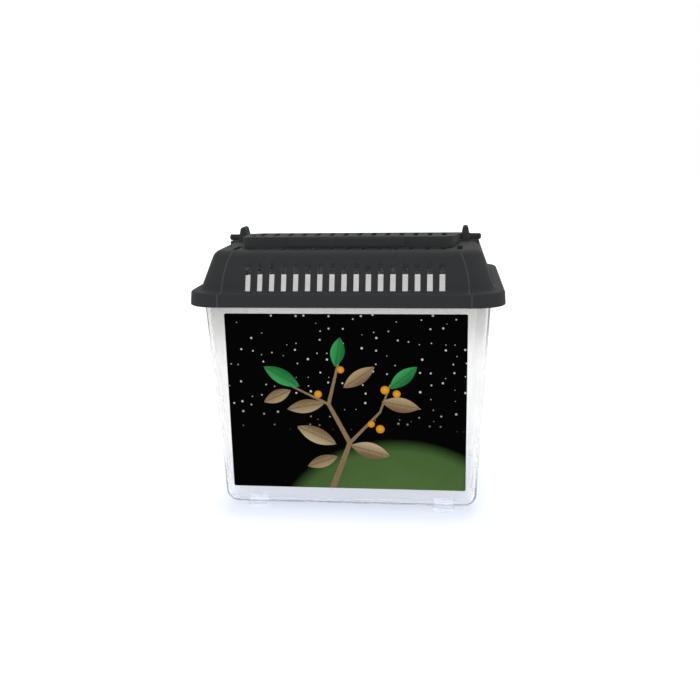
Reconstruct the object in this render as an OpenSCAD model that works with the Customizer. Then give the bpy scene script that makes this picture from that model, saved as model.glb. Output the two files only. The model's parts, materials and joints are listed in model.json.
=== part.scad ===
// Plastic pet keeper: a clear tapered tub, a black slotted lid that lifts off, a carry handle
// that folds down onto the lid, a small flap for feeding and a label on the front wall.
// Millimetres, +Z up. The origin is on the ground under the middle of the tub; the front is at -Y.

/* [Tub] */
// Outside width of the tub at its rim
tub_w = 110; // [100:0.5:140]
// Outside depth of the tub at its rim
tub_d = 78; // [70:0.5:100]
// Height of the tub's rim above the ground
tub_h = 88.7; // [60:0.1:120]
// Thickness of the tub's walls and floor
tub_wall = 1.6; // [1.2:0.1:2.4]
// Slant of the tub's walls from the vertical, in degrees
tub_slant = 3; // [1:0.1:4]
// Corner radius of the rim seen from above
tub_corner_r = 6; // [5:0.5:10]
// Corner radius of the floor seen from above
floor_corner_r = 6.5; // [6:0.5:12]
// Radius of the round edge between wall and floor
floor_edge_r = 5; // [2.5:0.25:5.5]
// Width of the flange round the rim
flange_w = 3.2; // [2:0.1:5]
// Thickness of the flange
flange_t = 1.6; // [1.2:0.1:2.2]

/* [Feet] */
// Height of the feet, and of the floor above the ground
foot_h = 2.4; // [1.6:0.1:5]
// Length of a foot along the tub's width
foot_l = 8.5; // [6:0.5:14]
// Width of a foot along the tub's depth
foot_w = 6; // [4:0.5:9]
// Inset of a foot's outer end from the edge of the floor
foot_inset = 8.5; // [5:0.5:12]
// Inset of a foot's outer side from the edge of the floor
foot_side_inset = 2.5; // [2:0.25:5]

/* [Lid] */
// Thickness of the lid's walls
lid_wall = 1.6; // [1.2:0.1:2]
// How far the skirt reaches down past the rim of the tub
skirt_drop = 3.7; // [1.5:0.1:6]
// Slant of the skirt from the vertical, in degrees: its lower edge is the wider one
skirt_slant = 4; // [0:0.5:6]
// Width of the ledge between the skirt and the dome
ledge_w = 4; // [3.8:0.1:6]
// Radius of the ledge's outer edge
ledge_edge_r = 1; // [0.4:0.1:1.4]
// Height of the dome above the ledge
dome_h = 14.9; // [13:0.1:22]
// Slant of the dome's walls from the vertical, in degrees
dome_slant = 20; // [10:0.5:21]
// Corner radius of the dome at the ledge
dome_corner_r = 7.8; // [7:0.1:11]
// Corner radius of the dome at its top
top_corner_r = 7; // [5:0.25:9]
// Radius of the hollow rounding where the dome meets the ledge
dome_foot_r = 2.2; // [1:0.1:2.6]
// Radius of the shoulder between the dome's walls and its top
shoulder_r = 3.8; // [2:0.1:4]

/* [Wall slots] */
// Width of a slot
slot_w = 2.1; // [1.4:0.1:2.6]
// Distance between the slots of a wall
slot_pitch = 4.58; // [3.8:0.02:6]
// Height of a slot
slot_h = 10.4; // [6:0.2:11.4]
// Height of a slot's lower end above the ledge
slot_rise = 0.1; // [0.1:0.1:2]
// How much higher the slots in the back wall start than those in front
back_slot_rise = 1.4; // [0:0.1:3]
// Least distance from a wall's last slot to its round corner
slot_margin = 9.8; // [4:0.1:16]

/* [Top slots] */
// Distance between the slots of the top
top_pitch = 6.15; // [5:0.05:8]
// Distance from the lid's middle to the inner end of a front or rear slot
top_slot_in = 19.4; // [16:0.2:22]
// Distance from a front or rear slot's outer end to the edge of the top
top_slot_edge = 2.8; // [2.7:0.1:6]
// Half length of the slots beside the hatch
side_slot_half = 11; // [6:0.5:12.5]
// Least distance from a slot beside the hatch to the hatch's opening
side_slot_gap = 4.5; // [4:0.25:7]

/* [Ears] */
// Distance between the inner faces of the two ears
ear_gap = 88.4; // [80:0.2:90]
// Thickness of an ear at its foot
ear_t = 3.4; // [2.6:0.1:3.4]
// Thickness of an ear at its top
ear_top_t = 1.9; // [1.2:0.1:2.2]
// How far an ear's outer face leans inwards
ear_lean = 1; // [0.4:0.1:1.2]
// Width of an ear at its foot
ear_w = 9.4; // [6:0.2:11]
// Width of an ear at its top
ear_top_w = 7; // [5:0.2:8.6]
// Height of an ear above the top of the lid
ear_h = 6; // [5.4:0.1:9]

/* [Handle] */
// Distance from the pivot to the middle of the grip
handle_reach = 27.5; // [24:0.5:29]
// Outside width of the handle across its two front corners
grip_w = 80.4; // [70:0.2:82]
// Thickness of the handle's strap
strap_t = 2.6; // [2:0.1:3.2]
// Height of the strap at the grip
strap_h = 4.5; // [3.6:0.1:5]
// Height of the strap at the pivot
hub_h = 2.8; // [2.6:0.1:3.2]
// Radius of the corners between grip and arms, on the outside
grip_corner_r = 4.5; // [3:0.25:7]
// Length of the thick middle of the grip
pad_l = 45; // [30:0.5:60]
// Thickness of the middle of the grip
pad_t = 4.2; // [3.4:0.1:5]
// Radius of the pivot pins
pin_r = 1.2; // [1:0.05:1.3]
// How far a pin sticks out past the foot of its ear
pin_out = 4.3; // [3:0.1:5]
// How far the lip at a pin's end stands out to the front
pin_lip = 0.25; // [0.1:0.05:0.3]

/* [Hatch] */
// Width of the feeding hatch
hatch_w = 46; // [36:1:50]
// Length of the hatch from its hinge line to its front edge
hatch_l = 23.4; // [16:0.2:24]
// Thickness of the hatch
hatch_t = 1.8; // [1.4:0.1:2.2]
// Distance of the hinge line behind the lid's middle
hatch_hinge_y = 11; // [8:0.5:12]
// Radius of the barrel along the hinge line
barrel_r = 1.9; // [1.7:0.05:2.1]
// Radius of the hatch's trunnions
trunnion_r = 1; // [0.8:0.05:1.1]
// Length of a trunnion
trunnion_l = 2.4; // [1.8:0.1:3]
// Width of the finger tab
tab_w = 14; // [8:0.5:20]
// Reach of the finger tab past the hatch's front edge
tab_reach = 2.6; // [1.6:0.1:3]

/* [Label] */
// Width of the label
label_w = 92.5; // [60:0.5:93]
// Height of the label
label_h = 71.4; // [40:0.2:72]
// Thickness of the label
label_t = 0.25; // [0.15:0.05:0.5]
// Distance from the skirt's lower edge down to the label
label_drop = 3.2; // [2:0.1:10]

/* [Fit] */
// Gap between the flange and the inside of the skirt
lid_fit = 0.5; // [0.3:0.05:0.8]
// Gap between the rim and the ledge that rests on it
seat_gap = 0.2; // [0.1:0.05:0.3]
// Gap between a pin or trunnion and its hole, all round
pin_fit = 0.08; // [0.05:0.01:0.1]
// Side gap between the handle and its ears
arm_gap = 0.3; // [0.2:0.05:0.5]
// Gap between the folded handle and the lid
rest_gap = 0.25; // [0.15:0.05:0.4]
// Gap round the hatch in its opening
hatch_gap = 0.4; // [0.25:0.05:0.6]
// Gap under the finger tab
tab_gap = 0.15; // [0.1:0.05:0.3]
// Film of glue between the label and the tub
glue_t = 0.05; // [0.03:0.01:0.1]

/* [Hidden] */

black = [0.11, 0.11, 0.115];
clear = [0.86, 0.9, 0.92, 0.35];
print_black = [0.05, 0.05, 0.05];

loft_fn = 32;                       // facets of a full circle in the lofted walls
round_fn = 64;                      // facets of a full circle in pins, holes and plain extrusions
loft_step = 15;                     // degrees between two slices of a round edge
slice_t = 0.01;                     // thickness of one slice of a loft
cut = 1;                            // how far a cut runs past the face that it opens

// Heights
seat_z = tub_h + seat_gap;          // underside of the ledge
ledge_z = seat_z + lid_wall;        // top of the ledge
top_z = ledge_z + dome_h;           // top of the dome
skirt_z = tub_h - skirt_drop + seat_gap;

// Plan of the lid, from the flange that it covers
lid_margin = flange_w + lid_fit + lid_wall;
lid_w = tub_w + 2 * lid_margin;
lid_d = tub_d + 2 * lid_margin;
lid_corner_r = tub_corner_r + lid_margin;
dome_w = lid_w - 2 * ledge_w;
dome_d = lid_d - 2 * ledge_w;
dome_draw = dome_h * tan(dome_slant);
top_d = dome_d - 2 * dome_draw;
top_w = dome_w - 2 * dome_draw;
wall_across = lid_wall / cos(dome_slant);
top_under_z = top_z - lid_wall;

// Pivot of the handle
hub_r = hub_h / 2;
pivot_z = top_z + rest_gap + hub_r;
arm_x = ear_gap / 2 - arm_gap - strap_t / 2;
pin_end = ear_gap / 2 + ear_t + pin_out;
pad_reach = pin_out - 0.8;          // the pad under the pin stops short of the pin's end
pad_gap = 0.13;
pad_sunk = 1.8;

// Hinge of the hatch
barrel_z = top_z - barrel_r - 0.1;
hatch_front_y = hatch_hinge_y - hatch_l;

// Label on the slanted front wall
label_top_z = skirt_z - label_drop;
label_mid_z = label_top_z - label_h / 2 * cos(tub_slant);

// Depth of the tub's wall line inside the rim's outline at height z
function tub_draw(z) = (tub_h - z) * tan(tub_slant);

// A rectangle with round corners, centred on the origin
module round_rect(w, d, r) {
    square([w - 2 * r, d], center = true);
    square([w, d - 2 * r], center = true);
    for (x = [-1, 1], y = [-1, 1])
        translate([x * (w / 2 - r), y * (d / 2 - r)]) circle(r);
}

// Slices of a slanted wall that ends in a round edge: [distance along the block, outset, end share].
// The wall starts at the open end and leans inwards by the slant; the round edge is tangent to it.
function loft_slices(length, slant, edge_r) =
    let (centre = -edge_r / cos(slant) - (length - edge_r) * tan(slant))
    concat([[0, 0]],
        [for (t = [slant : (90 - slant) / ceil((90 - slant) / loft_step) : 90.001])
            [length - edge_r + edge_r * sin(t), centre + edge_r * cos(t)]]);

// A solid block whose walls lean inwards from the open end at z = 0 to the closed end at z = length,
// where the edge is rounded. The open end can run on past z = 0 along the same slant.
module drafted_block(w, d, r_open, r_closed, length, slant, edge_r, run_on = 0) {
    slices = concat([[-run_on, run_on * tan(slant)]], loft_slices(length, slant, edge_r));
    hull() for (s = slices) {
        wall_outset = -s[0] * tan(slant);
        r = r_open + (r_closed - r_open) * s[0] / length + s[1] - wall_outset;
        translate([0, 0, min(s[0], length - slice_t)]) linear_extrude(slice_t)
            round_rect(w + 2 * s[1], d + 2 * s[1], r, $fn = loft_fn);
    }
}

// ---------------------------------------------------------------- tub

module tub_outside() {
    translate([0, 0, tub_h]) mirror([0, 0, 1])
        drafted_block(tub_w, tub_d, tub_corner_r, floor_corner_r, tub_h - foot_h, tub_slant, floor_edge_r);
}

module tub_inside() {
    across = 2 * tub_wall / cos(tub_slant);
    translate([0, 0, tub_h]) mirror([0, 0, 1])
        drafted_block(tub_w - across, tub_d - across, tub_corner_r - tub_wall, floor_corner_r - tub_wall,
            tub_h - foot_h - tub_wall, tub_slant, floor_edge_r - tub_wall, cut);
}

// One foot: a small round-cornered block that stands under the floor and reaches up into it
module foot() {
    linear_extrude(foot_h + 0.7 * tub_wall) round_rect(foot_l, foot_w, 1.5, $fn = round_fn);
}

module feet() {
    edge_x = tub_w / 2 - tub_draw(foot_h);
    edge_y = tub_d / 2 - tub_draw(foot_h);
    for (x = [-1, 1], y = [-1, 1])
        translate([x * (edge_x - foot_inset - foot_l / 2), y * (edge_y - foot_side_inset - foot_w / 2), 0])
            foot();
}

module rim_flange() {
    translate([0, 0, tub_h - flange_t]) linear_extrude(flange_t)
        round_rect(tub_w + 2 * flange_w, tub_d + 2 * flange_w, tub_corner_r + flange_w, $fn = round_fn);
}

module tub() {
    color(clear) difference() {
        union() {
            tub_outside();
            rim_flange();
            feet();
        }
        tub_inside();
    }
}

// ---------------------------------------------------------------- lid

// Skirt and ledge as one solid slab with a round upper edge
module skirt_slab() {
    slab_h = ledge_z - skirt_z;
    translate([0, 0, skirt_z])
        drafted_block(lid_w, lid_d, lid_corner_r, lid_corner_r, slab_h, skirt_slant, ledge_edge_r);
}

module skirt_hollow() {
    translate([0, 0, skirt_z - cut]) linear_extrude(seat_z - skirt_z + cut)
        round_rect(lid_w - 2 * lid_wall, lid_d - 2 * lid_wall, lid_corner_r - lid_wall, $fn = round_fn);
}

module dome_outside() {
    translate([0, 0, ledge_z])
        drafted_block(dome_w, dome_d, dome_corner_r, top_corner_r, dome_h, dome_slant, shoulder_r, lid_wall / 2);
}

// Hollow rounding between the dome's foot and the ledge, one convex step after the other.
// Its arc is tangent to both: step i lies at `turn * i / steps` along it.
module dome_foot() {
    steps = 3;
    turn = 90 - dome_slant;
    for (i = [0 : steps - 1]) hull() for (k = [i, i + 1]) {
        rise = dome_foot_r * (1 - cos(turn * k / steps));
        spread = dome_foot_r * (tan(turn / 2) - sin(turn * k / steps));
        under = k == 0 ? lid_wall / 2 : slice_t;
        translate([0, 0, ledge_z + rise - under]) linear_extrude(under)
            round_rect(dome_w + 2 * spread, dome_d + 2 * spread, dome_corner_r + spread, $fn = loft_fn);
    }
}

module dome_inside() {
    across = 2 * wall_across;
    translate([0, 0, ledge_z])
        drafted_block(dome_w - across, dome_d - across, dome_corner_r - lid_wall, top_corner_r - lid_wall,
            dome_h - lid_wall, dome_slant, shoulder_r - lid_wall, lid_wall + cut);
}

// Outline of a wall slot, standing on the X axis: square below and round above; it can start higher
module wall_slot(start_h) {
    translate([-slot_w / 2, start_h]) square([slot_w, slot_h - slot_w / 2 - start_h]);
    translate([0, slot_h - slot_w / 2]) circle(slot_w / 2);
}

// The slots of the two opposite walls that are `length` wide, cut inwards from outside. Those of the
// second wall can start higher.
module wall_slots(length, far, second_rise = 0) {
    count = floor((length - 2 * (dome_corner_r + slot_margin)) / slot_pitch) + 1;
    depth = dome_draw + 2 * wall_across;
    start = far / 2 + dome_foot_r;
    for (i = [0 : count - 1], side = [0, 180])
        rotate(side) translate([(i - (count - 1) / 2) * slot_pitch, -start, ledge_z + slot_rise])
            rotate([90, 0, 180]) linear_extrude(depth + dome_foot_r) wall_slot(side == 0 ? 0 : second_rise, $fn = loft_fn);
}

// Outline of a top slot that runs along Y between two distances from the middle
module top_slot(y_from, y_to) {
    r = slot_w / 2;
    translate([-r, y_from + r]) square([slot_w, y_to - y_from - slot_w]);
    for (y = [y_from + r, y_to - r]) translate([0, y]) circle(r);
}

module top_slots() {
    columns = floor((top_w / 2 - shoulder_r - slot_w) / top_pitch);
    outer = top_d / 2 - top_slot_edge;
    opening = hatch_w / 2 + hatch_gap + side_slot_gap;
    arm_inside = ear_gap / 2 - arm_gap - strap_t;
    translate([0, 0, top_under_z - cut]) linear_extrude(lid_wall + 2 * cut) for (i = [-columns : columns]) {
        x = i * top_pitch;
        translate([x, 0]) top_slot(top_slot_in, outer, $fn = loft_fn);
        translate([x, 0]) top_slot(-outer, -top_slot_in, $fn = loft_fn);
        if (abs(x) > opening && abs(x) + slot_w / 2 < arm_inside)
            translate([x, 0]) top_slot(-side_slot_half, side_slot_half, $fn = loft_fn);
    }
}

// Ear on the right with the pin's hole, narrower and rounded at the top. Its inner face is upright beside
// the handle and leans away above it. A low pad stands under the pin outside the ear.
module ear() {
    sunk = lid_wall / 2;
    foot_x = ear_gap / 2 + ear_t;
    tip_x = foot_x - ear_lean;
    tip_r = ear_top_t / 2;
    neck = ear_top_w / 2;
    corner = neck * 0.4;
    difference() {
        intersection() {
            translate([0, ear_w, top_z]) rotate([90, 0, 0]) linear_extrude(2 * ear_w) {
                polygon([[ear_gap / 2, -sunk], [foot_x, -sunk], [foot_x, 0], [tip_x, ear_h - tip_r],
                    [tip_x - ear_top_t, ear_h - tip_r], [ear_gap / 2, rest_gap + hub_h]]);
                translate([tip_x - tip_r, ear_h - tip_r]) circle(tip_r, $fn = round_fn);
            }
            translate([ear_gap / 2 - cut, 0, top_z]) rotate([90, 0, 90]) linear_extrude(ear_t + 2 * cut) {
                polygon([[-ear_w / 2, -sunk], [ear_w / 2, -sunk], [ear_w / 2, 0],
                    [neck, ear_h - corner], [-neck, ear_h - corner], [-ear_w / 2, 0]]);
                translate([corner - neck, ear_h - corner - 0.1]) square([2 * (neck - corner), corner + 0.1]);
                for (y = [-1, 1]) translate([y * (neck - corner), ear_h - corner]) circle(corner, $fn = round_fn);
            }
        }
        translate([ear_gap / 2 - cut, 0, pivot_z]) rotate([0, 90, 0])
            cylinder(ear_t + 2 * cut, r = pin_r + pin_fit, $fn = round_fn);
    }
    pad_low = pivot_z - pin_r - pad_gap - pad_sunk;
    translate([foot_x - 0.4, -neck, pad_low]) cube([pad_reach + 0.4, 2 * neck, pad_sunk]);
}

// Opening for the hatch: it leaves room for the barrel behind the hinge line
module hatch_opening() {
    front = hatch_front_y - hatch_gap;
    back = hatch_hinge_y + barrel_r + hatch_gap + 0.2;
    translate([-hatch_w / 2 - hatch_gap, front, top_under_z - cut])
        cube([hatch_w + 2 * hatch_gap, back - front, lid_wall + 2 * cut]);
}

// Bearing block under the top, beside the opening, with a blind hole for the trunnion
module hatch_bearing() {
    inner_x = hatch_w / 2 + hatch_gap;
    block = trunnion_l + 1.2;
    half = barrel_r + 0.6;
    difference() {
        translate([inner_x, hatch_hinge_y - half, barrel_z - half])
            cube([block, 2 * half, top_under_z + lid_wall / 2 - barrel_z + half]);
        hatch_bearing_hole();
    }
}

module hatch_bearing_hole() {
    translate([hatch_w / 2 + hatch_gap - cut, 0, 0]) translate([0, hatch_hinge_y, barrel_z])
        rotate([0, 90, 0]) cylinder(trunnion_l + cut, r = trunnion_r + pin_fit, $fn = round_fn);
}

module lid() {
    color(black) difference() {
        union() {
            difference() {
                union() {
                    skirt_slab();
                    dome_foot();
                    dome_outside();
                }
                skirt_hollow();
                dome_inside();
                wall_slots(dome_w, dome_d, back_slot_rise);
                rotate(90) wall_slots(dome_d, dome_w);
                top_slots();
                hatch_opening();
            }
            for (side = [0, 1]) mirror([side, 0, 0]) {
                ear();
                hatch_bearing();
            }
        }
        for (side = [0, 1]) mirror([side, 0, 0]) hatch_bearing_hole();
    }
}

// ---------------------------------------------------------------- handle

// Outline of the U seen from above, `inset` inside its outer edge; it runs on behind the pivots
module handle_outline(inset, r) {
    back = hub_r + 6;
    corner_x = grip_w / 2 - inset;
    hub_x = arm_x + strap_t / 2 - inset;
    front_y = inset - handle_reach - strap_t / 2;
    offset(r) offset(-r)
        polygon([[-corner_x, front_y], [corner_x, front_y], [hub_x, -hub_r], [hub_x, back],
            [-hub_x, back], [-hub_x, -hub_r]]);
}

// Side view of the strap: round at the pivot and higher towards the grip
module strap_profile() {
    front = handle_reach + pad_t;
    low = top_z + rest_gap;
    translate([0, pivot_z]) circle(hub_r, $fn = round_fn);
    polygon([[0, low], [0, low + hub_h], [-front, low + strap_h], [-front, low]]);
}

// The thick middle of the grip, with round edges all along
module grip_pad() {
    translate([-pad_l / 2, -handle_reach, top_z + rest_gap + strap_h / 2]) rotate([90, 0, 90])
        linear_extrude(pad_l) round_rect(pad_t, strap_h, 1.2, $fn = round_fn);
}

// Pivot pin on the right, from inside the arm to a tapered end past the ear, with a snap lip in front
module pivot_pin() {
    tip = 0.5;
    lip = 0.8;
    shaft = pin_end - tip - arm_x;
    translate([arm_x, 0, pivot_z]) rotate([0, 90, 0]) {
        cylinder(shaft, r = pin_r, $fn = round_fn);
        translate([0, 0, shaft]) cylinder(tip, pin_r, pin_r * 0.65, $fn = round_fn);
        translate([0, -pin_lip, shaft - lip]) cylinder(lip, r = pin_r, $fn = round_fn);
    }
}

module handle() {
    color(black) union() {
        intersection() {
            translate([0, 0, top_z]) linear_extrude(strap_h + 2 * cut) difference() {
                handle_outline(0, grip_corner_r, $fn = loft_fn);
                handle_outline(strap_t, grip_corner_r - strap_t, $fn = loft_fn);
            }
            translate([-ear_gap / 2, 0, 0]) rotate([90, 0, 90]) linear_extrude(ear_gap) strap_profile();
        }
        grip_pad();
        for (side = [0, 1]) mirror([side, 0, 0]) pivot_pin();
    }
}

// ---------------------------------------------------------------- feeding hatch

module feeding_hatch() {
    color(black) union() {
        translate([-hatch_w / 2, hatch_front_y, top_z - hatch_t]) cube([hatch_w, hatch_l, hatch_t]);
        translate([-hatch_w / 2, hatch_hinge_y, barrel_z]) rotate([0, 90, 0])
            cylinder(hatch_w, r = barrel_r, $fn = round_fn);
        translate([-hatch_w / 2 - trunnion_l, hatch_hinge_y, barrel_z]) rotate([0, 90, 0])
            cylinder(hatch_w + 2 * trunnion_l, r = trunnion_r, $fn = round_fn);
        // Finger tab: it lies on the lid's top and lifts with a fingernail
        translate([0, hatch_front_y, top_z + tab_gap]) linear_extrude(0.9) {
            translate([-tab_w / 2, -tab_reach / 2]) square([tab_w, tab_reach / 2 + 2]);
            translate([0, -tab_reach / 2]) round_rect(tab_w, tab_reach, tab_reach / 2 - 0.1, $fn = round_fn);
        }
        translate([-tab_w / 2, hatch_front_y, top_z - hatch_t / 2]) cube([tab_w, 2, hatch_t / 2 + tab_gap + 0.45]);
    }
}

// ---------------------------------------------------------------- label

module label() {
    wall_y = -tub_d / 2 + tub_draw(label_mid_z);
    color(print_black) translate([0, wall_y, label_mid_z]) rotate([tub_slant, 0, 0])
        translate([-label_w / 2, -glue_t - label_t, -label_h / 2]) cube([label_w, label_t, label_h]);
}

tub();
lid();
handle();
feeding_hatch();
label();
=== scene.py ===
# %% [markdown]
# # A small plastic pet keeper
# The object is a clear tub with slanted walls and a black lid full of air slots. The lid lifts off, a
# carry handle folds down onto it, and a small flap in its top is opened for feeding. A black printed
# label covers most of the front wall. Every length here is in metres, and the front faces -Y.
#
# Each piece is modelled by itself, then made to ride on the body that it moves with: tub and label on
# one body, and the lid, the handle and the flap each on their own.

# %% Open the measured frame
import json
import math

import bmesh
import bpy
from mathutils import Matrix, Vector
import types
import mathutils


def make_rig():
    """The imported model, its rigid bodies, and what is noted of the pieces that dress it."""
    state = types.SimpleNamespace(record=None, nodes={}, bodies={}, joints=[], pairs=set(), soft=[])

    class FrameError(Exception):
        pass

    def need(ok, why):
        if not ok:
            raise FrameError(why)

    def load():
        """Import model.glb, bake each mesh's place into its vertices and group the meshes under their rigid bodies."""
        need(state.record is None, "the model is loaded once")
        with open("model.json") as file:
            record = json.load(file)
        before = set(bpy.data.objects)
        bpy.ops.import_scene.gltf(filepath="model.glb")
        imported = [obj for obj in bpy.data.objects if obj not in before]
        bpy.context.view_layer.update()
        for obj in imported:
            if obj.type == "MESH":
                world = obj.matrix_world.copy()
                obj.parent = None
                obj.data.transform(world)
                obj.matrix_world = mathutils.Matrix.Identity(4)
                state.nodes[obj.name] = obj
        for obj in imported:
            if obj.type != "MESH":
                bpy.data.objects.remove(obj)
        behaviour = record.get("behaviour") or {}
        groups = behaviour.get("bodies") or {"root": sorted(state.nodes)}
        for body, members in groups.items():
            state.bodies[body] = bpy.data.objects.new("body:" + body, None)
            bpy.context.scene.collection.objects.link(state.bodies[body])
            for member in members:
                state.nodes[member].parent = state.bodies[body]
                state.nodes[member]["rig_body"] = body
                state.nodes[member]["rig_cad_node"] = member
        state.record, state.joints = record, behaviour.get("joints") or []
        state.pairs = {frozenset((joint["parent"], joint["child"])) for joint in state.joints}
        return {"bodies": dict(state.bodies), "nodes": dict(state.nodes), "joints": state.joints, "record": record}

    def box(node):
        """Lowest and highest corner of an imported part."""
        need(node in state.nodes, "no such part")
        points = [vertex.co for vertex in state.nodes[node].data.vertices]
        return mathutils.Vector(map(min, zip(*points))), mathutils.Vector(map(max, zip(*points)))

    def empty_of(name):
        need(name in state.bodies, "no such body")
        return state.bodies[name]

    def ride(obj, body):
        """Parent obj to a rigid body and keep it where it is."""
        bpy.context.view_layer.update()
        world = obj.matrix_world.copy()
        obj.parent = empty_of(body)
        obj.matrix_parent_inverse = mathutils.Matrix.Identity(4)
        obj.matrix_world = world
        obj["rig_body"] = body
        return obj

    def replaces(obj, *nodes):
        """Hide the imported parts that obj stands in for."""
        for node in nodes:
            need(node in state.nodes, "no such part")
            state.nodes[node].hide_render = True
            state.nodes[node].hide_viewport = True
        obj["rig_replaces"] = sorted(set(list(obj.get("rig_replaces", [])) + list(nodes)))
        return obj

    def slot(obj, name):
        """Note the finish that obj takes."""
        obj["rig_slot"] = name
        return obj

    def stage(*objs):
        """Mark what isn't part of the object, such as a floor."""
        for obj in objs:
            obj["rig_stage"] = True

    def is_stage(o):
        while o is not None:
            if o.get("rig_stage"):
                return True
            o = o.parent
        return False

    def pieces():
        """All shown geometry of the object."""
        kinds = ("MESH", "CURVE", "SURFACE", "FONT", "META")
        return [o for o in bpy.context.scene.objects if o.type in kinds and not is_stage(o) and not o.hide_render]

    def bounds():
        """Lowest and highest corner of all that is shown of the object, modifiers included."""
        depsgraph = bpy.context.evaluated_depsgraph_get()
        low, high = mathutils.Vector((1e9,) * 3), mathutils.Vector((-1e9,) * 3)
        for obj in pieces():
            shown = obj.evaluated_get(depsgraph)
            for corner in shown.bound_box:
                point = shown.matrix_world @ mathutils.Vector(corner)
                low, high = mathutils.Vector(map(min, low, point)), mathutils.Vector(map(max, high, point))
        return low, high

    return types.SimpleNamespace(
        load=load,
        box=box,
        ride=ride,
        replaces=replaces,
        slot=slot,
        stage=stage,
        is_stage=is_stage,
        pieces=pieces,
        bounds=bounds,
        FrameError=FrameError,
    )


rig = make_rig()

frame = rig.load()
frame_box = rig.bounds()
MM = 0.001
print("solids in the frame:", sorted(frame["nodes"]))

# %% [markdown]
# ## The camera
# The photograph was taken from slightly above and a little to the right, close enough that the tub's
# walls converge. Its camera was solved from the corners of the lid, the label and the feet, so its place
# and turn are typed in here as numbers. The focal length was solved in pixels of a 700 px wide picture,
# and Blender wants it in millimetres of a 36 mm wide sensor.

# %% Set up the camera
bpy.ops.object.select_all(action="DESELECT")
turn_left, look_down, lean = math.radians(6.319), math.radians(13.046), math.radians(-0.946)
bpy.ops.object.camera_add(location=(0.03859, -0.36999, 0.14528))
camera = bpy.context.object
camera.name = "photo_camera"
camera.rotation_euler = (
    Matrix.Rotation(turn_left, 3, "Z")
    @ Matrix.Rotation(math.pi / 2 - look_down, 3, "X")
    @ Matrix.Rotation(lean, 3, "Z")
).to_euler()
focal_px, picture_px, sensor_mm = 900.2, 700, 36
camera.data.sensor_width = sensor_mm
camera.data.lens = focal_px / picture_px * sensor_mm
camera.data.clip_start = 0.01
bpy.context.scene.camera = camera
print("lens in mm:", round(camera.data.lens, 2))

# %% [markdown]
# ## Sizes
# The pieces get the same sizes as the solids have. The box of each solid is read from the frame where
# that is enough, and what a box can't tell is typed in here, or beside the piece that needs it.

# %% Sizes of the keeper
lid_low, lid_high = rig.box("lid")
tub_low, tub_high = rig.box("tub")
rim_z = tub_high[2]
skirt_z = lid_low[2]
lid_wall = 1.6 * MM
rest_gap = 0.2 * MM
ledge_z = rim_z + rest_gap + lid_wall
dome_height, dome_slant = 14.9 * MM, math.radians(20)
dome_size = (112.6 * MM, 80.6 * MM)
dome_lean = dome_height * math.tan(dome_slant)
top_z = ledge_z + dome_height
tub_wall, wall_slant = 1.6 * MM, math.radians(3)
foot_height = 2.4 * MM
pivot_z = top_z + 1.65 * MM
print("lid top at", round(top_z / MM, 2), "mm, rim at", round(rim_z / MM, 2), "mm")

# %% [markdown]
# ## Hand tools
# Modelling by hand in Blender is a rhythm: enter edit mode, select some edges or faces, run one tool.
# In a script the selecting is done by place, so these helpers take a test on the middle of an edge or
# a face. Everything is deselected first, because a tool works on all that is selected.

# %% Helpers for hand modelling
def only(thing):
    """Select one object alone and make it the active one."""
    if bpy.context.object and bpy.context.object.mode != "OBJECT":
        bpy.ops.object.mode_set(mode="OBJECT")
    bpy.ops.object.select_all(action="DESELECT")
    thing.select_set(True)
    bpy.context.view_layer.objects.active = thing
    return thing


def pick(thing, kind, test):
    """In edit mode, select the vertices, edges or faces whose middle passes the test."""
    if thing.mode != "EDIT":
        only(thing)
        bpy.ops.object.mode_set(mode="EDIT")
    bpy.ops.mesh.select_mode(type=kind)
    bpy.ops.mesh.select_all(action="DESELECT")
    cage = bmesh.from_edit_mesh(thing.data)
    parts = {"VERT": cage.verts, "EDGE": cage.edges, "FACE": cage.faces}[kind]
    count = 0
    for part in parts:
        if kind == "VERT":
            middle = part.co
        elif kind == "EDGE":
            middle = (part.verts[0].co + part.verts[1].co) / 2
        else:
            middle = part.calc_center_median()
        if test(middle, part):
            part.select_set(True)
            count += 1
    cage.select_flush_mode()
    bmesh.update_edit_mesh(thing.data)
    return count


def settle(thing):
    """Leave edit mode and put the object's place, turn and size into its mesh."""
    only(thing)
    bpy.ops.object.transform_apply(location=True, rotation=True, scale=True)
    return thing


def block(name, low, high):
    """A box between two corners: the usual start of a moulded piece."""
    size = [b - a for a, b in zip(low, high)]
    middle = [(a + b) / 2 for a, b in zip(low, high)]
    bpy.ops.object.select_all(action="DESELECT")
    bpy.ops.mesh.primitive_cube_add(size=1, location=middle, scale=size)
    bpy.context.object.name = name
    return settle(bpy.context.object)


def rod(name, start, length, radius):
    """A round rod along X from its start point."""
    bpy.ops.object.select_all(action="DESELECT")
    bpy.ops.mesh.primitive_cylinder_add(
        vertices=48, radius=radius, depth=length, rotation=(0, math.pi / 2, 0),
        location=Vector(start) + Vector((length / 2, 0, 0)),
    )
    bpy.context.object.name = name
    return settle(bpy.context.object)


def apply_modifier(thing, kind, **settings):
    """Add one modifier with its settings and put its result into the mesh."""
    only(thing)
    modifier = thing.modifiers.new(kind.lower(), kind)
    for key, value in settings.items():
        setattr(modifier, key, value)
    bpy.ops.object.modifier_apply(modifier=modifier.name)
    return thing


def cut(thing, tool):
    """Take the tool's shape out of the piece."""
    apply_modifier(thing, "BOOLEAN", operation="DIFFERENCE", object=tool, solver="EXACT")
    bpy.data.objects.remove(tool)
    return thing


def weld(thing, other):
    """Melt another shape into the piece, so that one clean skin is left."""
    apply_modifier(thing, "BOOLEAN", operation="UNION", object=other, solver="EXACT")
    bpy.data.objects.remove(other)
    return thing


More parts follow.
